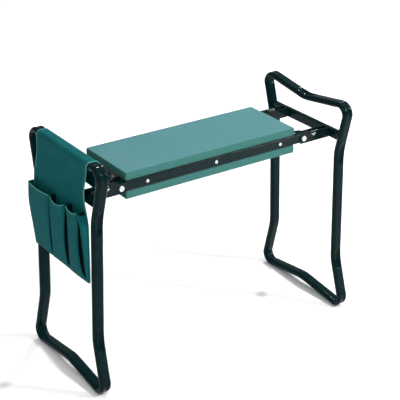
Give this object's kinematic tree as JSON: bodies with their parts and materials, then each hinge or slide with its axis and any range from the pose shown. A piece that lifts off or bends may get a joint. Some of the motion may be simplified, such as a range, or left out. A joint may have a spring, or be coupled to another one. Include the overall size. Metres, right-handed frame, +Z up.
{
  "type": "garden kneeler seat",
  "caption": "Folding garden kneeler and seat: padded steel bench between two bent-tube loop legs with handles, sprung lever locks and a hanging pocketed tool bag.",
  "frame": {"origin": "on the floor, at the centre of the whole object's footprint", "axes": "+X along the seat, away from the bag; +Y from front to back; +Z up"},
  "size_m": [0.6404, 0.2816, 0.4871],
  "materials": {
    "frame_paint": "glossy dark green-black stove enamel",
    "hinge_paint": "satin black-green enamel",
    "zinc_plate": "bright zinc plating",
    "lock_paint": "black enamel",
    "spring_steel": "oiled spring steel",
    "eva_foam": "teal green closed-cell foam with a fine embossed grain",
    "moulded_black": "moulded black plastic",
    "bag_cloth": "dark teal coated woven polyester",
    "pocket_cloth": "dark teal coated woven polyester"
  },
  "bodies": {
    "seat": {"cross_member_left": "moulded_black", "cross_member_middle": "moulded_black", "cross_member_right": "moulded_black", "left_end_member": "moulded_black", "lower_pad": "eva_foam", "lower_seat_plate": "moulded_black", "pivot_bolts": "zinc_plate", "pivot_nuts": "zinc_plate", "pivot_spacers": "spring_steel", "rail_rivets": "zinc_plate", "right_end_member": "moulded_black", "seat_rail_back": "hinge_paint", "seat_rail_front": "hinge_paint", "upper_pad": "eva_foam", "upper_seat_plate": "moulded_black"},
    "left_leg": {"bag_cloth": "bag_cloth", "bag_pockets": "pocket_cloth", "left_crossbar": "frame_paint", "left_foot_hoop": "frame_paint", "left_handle_hoop": "frame_paint", "left_hinge_arm_back": "hinge_paint", "left_hinge_arm_front": "hinge_paint", "left_lock_catches": "zinc_plate"},
    "right_leg": {"right_crossbar": "frame_paint", "right_foot_hoop": "frame_paint", "right_handle_hoop": "frame_paint", "right_hinge_arm_back": "hinge_paint", "right_hinge_arm_front": "hinge_paint", "right_lock_catches": "zinc_plate"},
    "left_lock": {"left_lock_lever_back": "lock_paint", "left_lock_lever_front": "lock_paint", "left_lock_rod": "lock_paint", "left_lock_springs": "spring_steel"},
    "right_lock": {"right_lock_lever_back": "lock_paint", "right_lock_lever_front": "lock_paint", "right_lock_rod": "lock_paint", "right_lock_springs": "spring_steel"}
  },
  "joints": [
    {"name": "left_fold", "type": "hinge", "parent": "seat", "child": "left_leg", "pos_m": [-0.21932, 0, 0.40779], "axis": [0, -1, 0], "range_deg": [0, 88]},
    {"name": "right_fold", "type": "hinge", "parent": "seat", "child": "right_leg", "pos_m": [0.22448, 0, 0.40779], "axis": [0, 1, 0], "range_deg": [0, 95.5]},
    {"name": "left_lock_turn", "type": "hinge", "parent": "seat", "child": "left_lock", "pos_m": [-0.21242, 0, 0.41429], "axis": [0, 1, 0], "range_deg": [0, 15], "stiffness_Nm_per_rad": 0.2, "springref_deg": -8.59},
    {"name": "right_lock_turn", "type": "hinge", "parent": "seat", "child": "right_lock", "pos_m": [0.20708, 0, 0.41429], "axis": [0, -1, 0], "range_deg": [0, 15], "stiffness_Nm_per_rad": 0.2, "springref_deg": -8.59}
  ]
}
